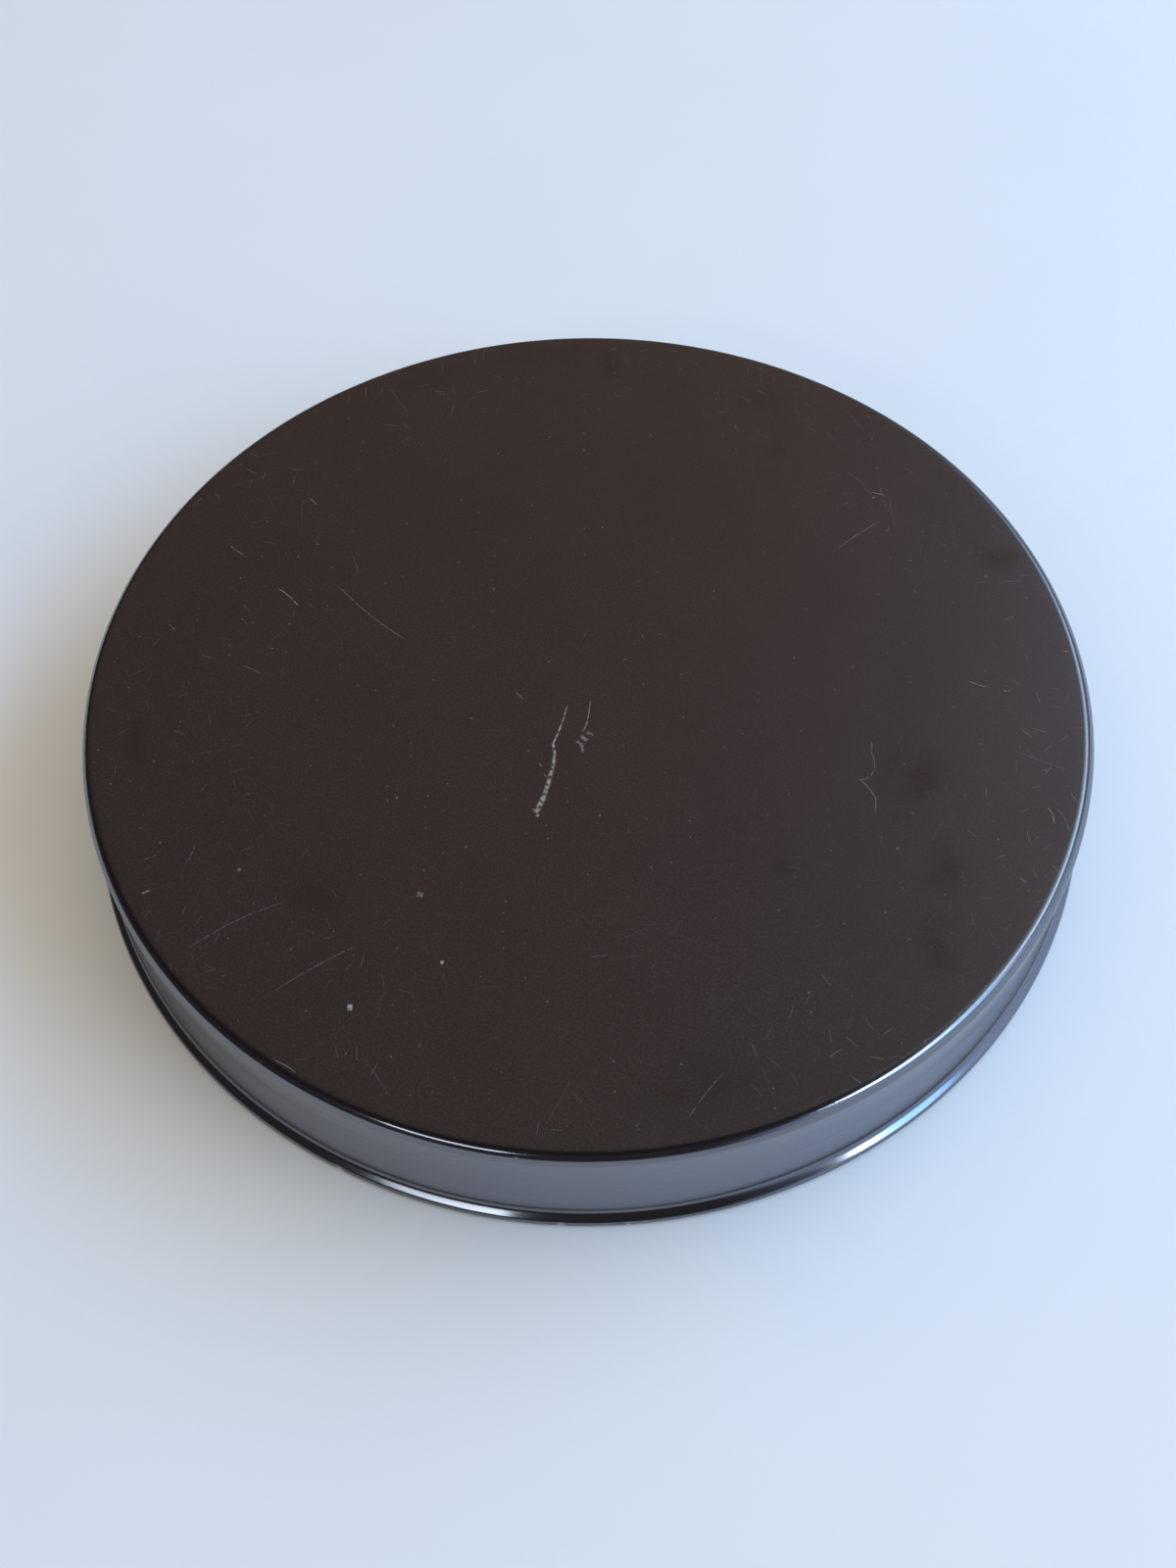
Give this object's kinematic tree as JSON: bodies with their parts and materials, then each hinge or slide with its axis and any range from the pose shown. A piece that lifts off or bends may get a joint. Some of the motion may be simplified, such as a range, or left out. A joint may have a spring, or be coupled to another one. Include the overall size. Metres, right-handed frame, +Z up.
{
  "type": "film reel can",
  "caption": "Round moulded can with a slip-over lid and flared foot rim, holding a loaded sheet-steel reel of 16 mm cine film.",
  "frame": {"origin": "on the table under the can's centre, at the level of the tray's foot ring", "axes": "+Z up along the can's axis, from the tray's foot to the lid's top"},
  "size_m": [0.1956, 0.1956, 0.025],
  "materials": {
    "lid_resin": "dark brown moulded phenolic resin, satin scuffed top and glossy sides",
    "tray_resin": "dark brown moulded phenolic resin, glossy",
    "flange_steel": "tinned sheet steel, lightly brushed in rings",
    "drum_steel": "tinned sheet steel",
    "bushing_steel": "turned steel",
    "rivet_brass": "dull brass",
    "film": "edge of wound film, dark grey",
    "leader": "white leader film, slightly aged",
    "tape": "plain crepe paper tape"
  },
  "bodies": {
    "can_base": {"base_tray": "tray_resin"},
    "reel": {"upper_flange": "flange_steel", "lower_flange": "flange_steel", "hub_drum": "drum_steel", "upper_spindle_bushing": "bushing_steel", "lower_spindle_bushing": "bushing_steel", "upper_rivets": "rivet_brass", "lower_rivets": "rivet_brass", "film_roll": "film", "tail_leader": "leader", "head_leader": "leader", "leader_tape": "tape"},
    "can_lid": {"lid": "lid_resin"}
  },
  "joints": [
    {"name": "reel_lift", "type": "slide", "parent": "can_base", "child": "reel", "axis": [0, 0, 1], "range_m": [0, 0.04]},
    {"name": "lid_lift", "type": "slide", "parent": "reel", "child": "can_lid", "axis": [0, 0, 1], "range_m": [0, 0.045]}
  ]
}
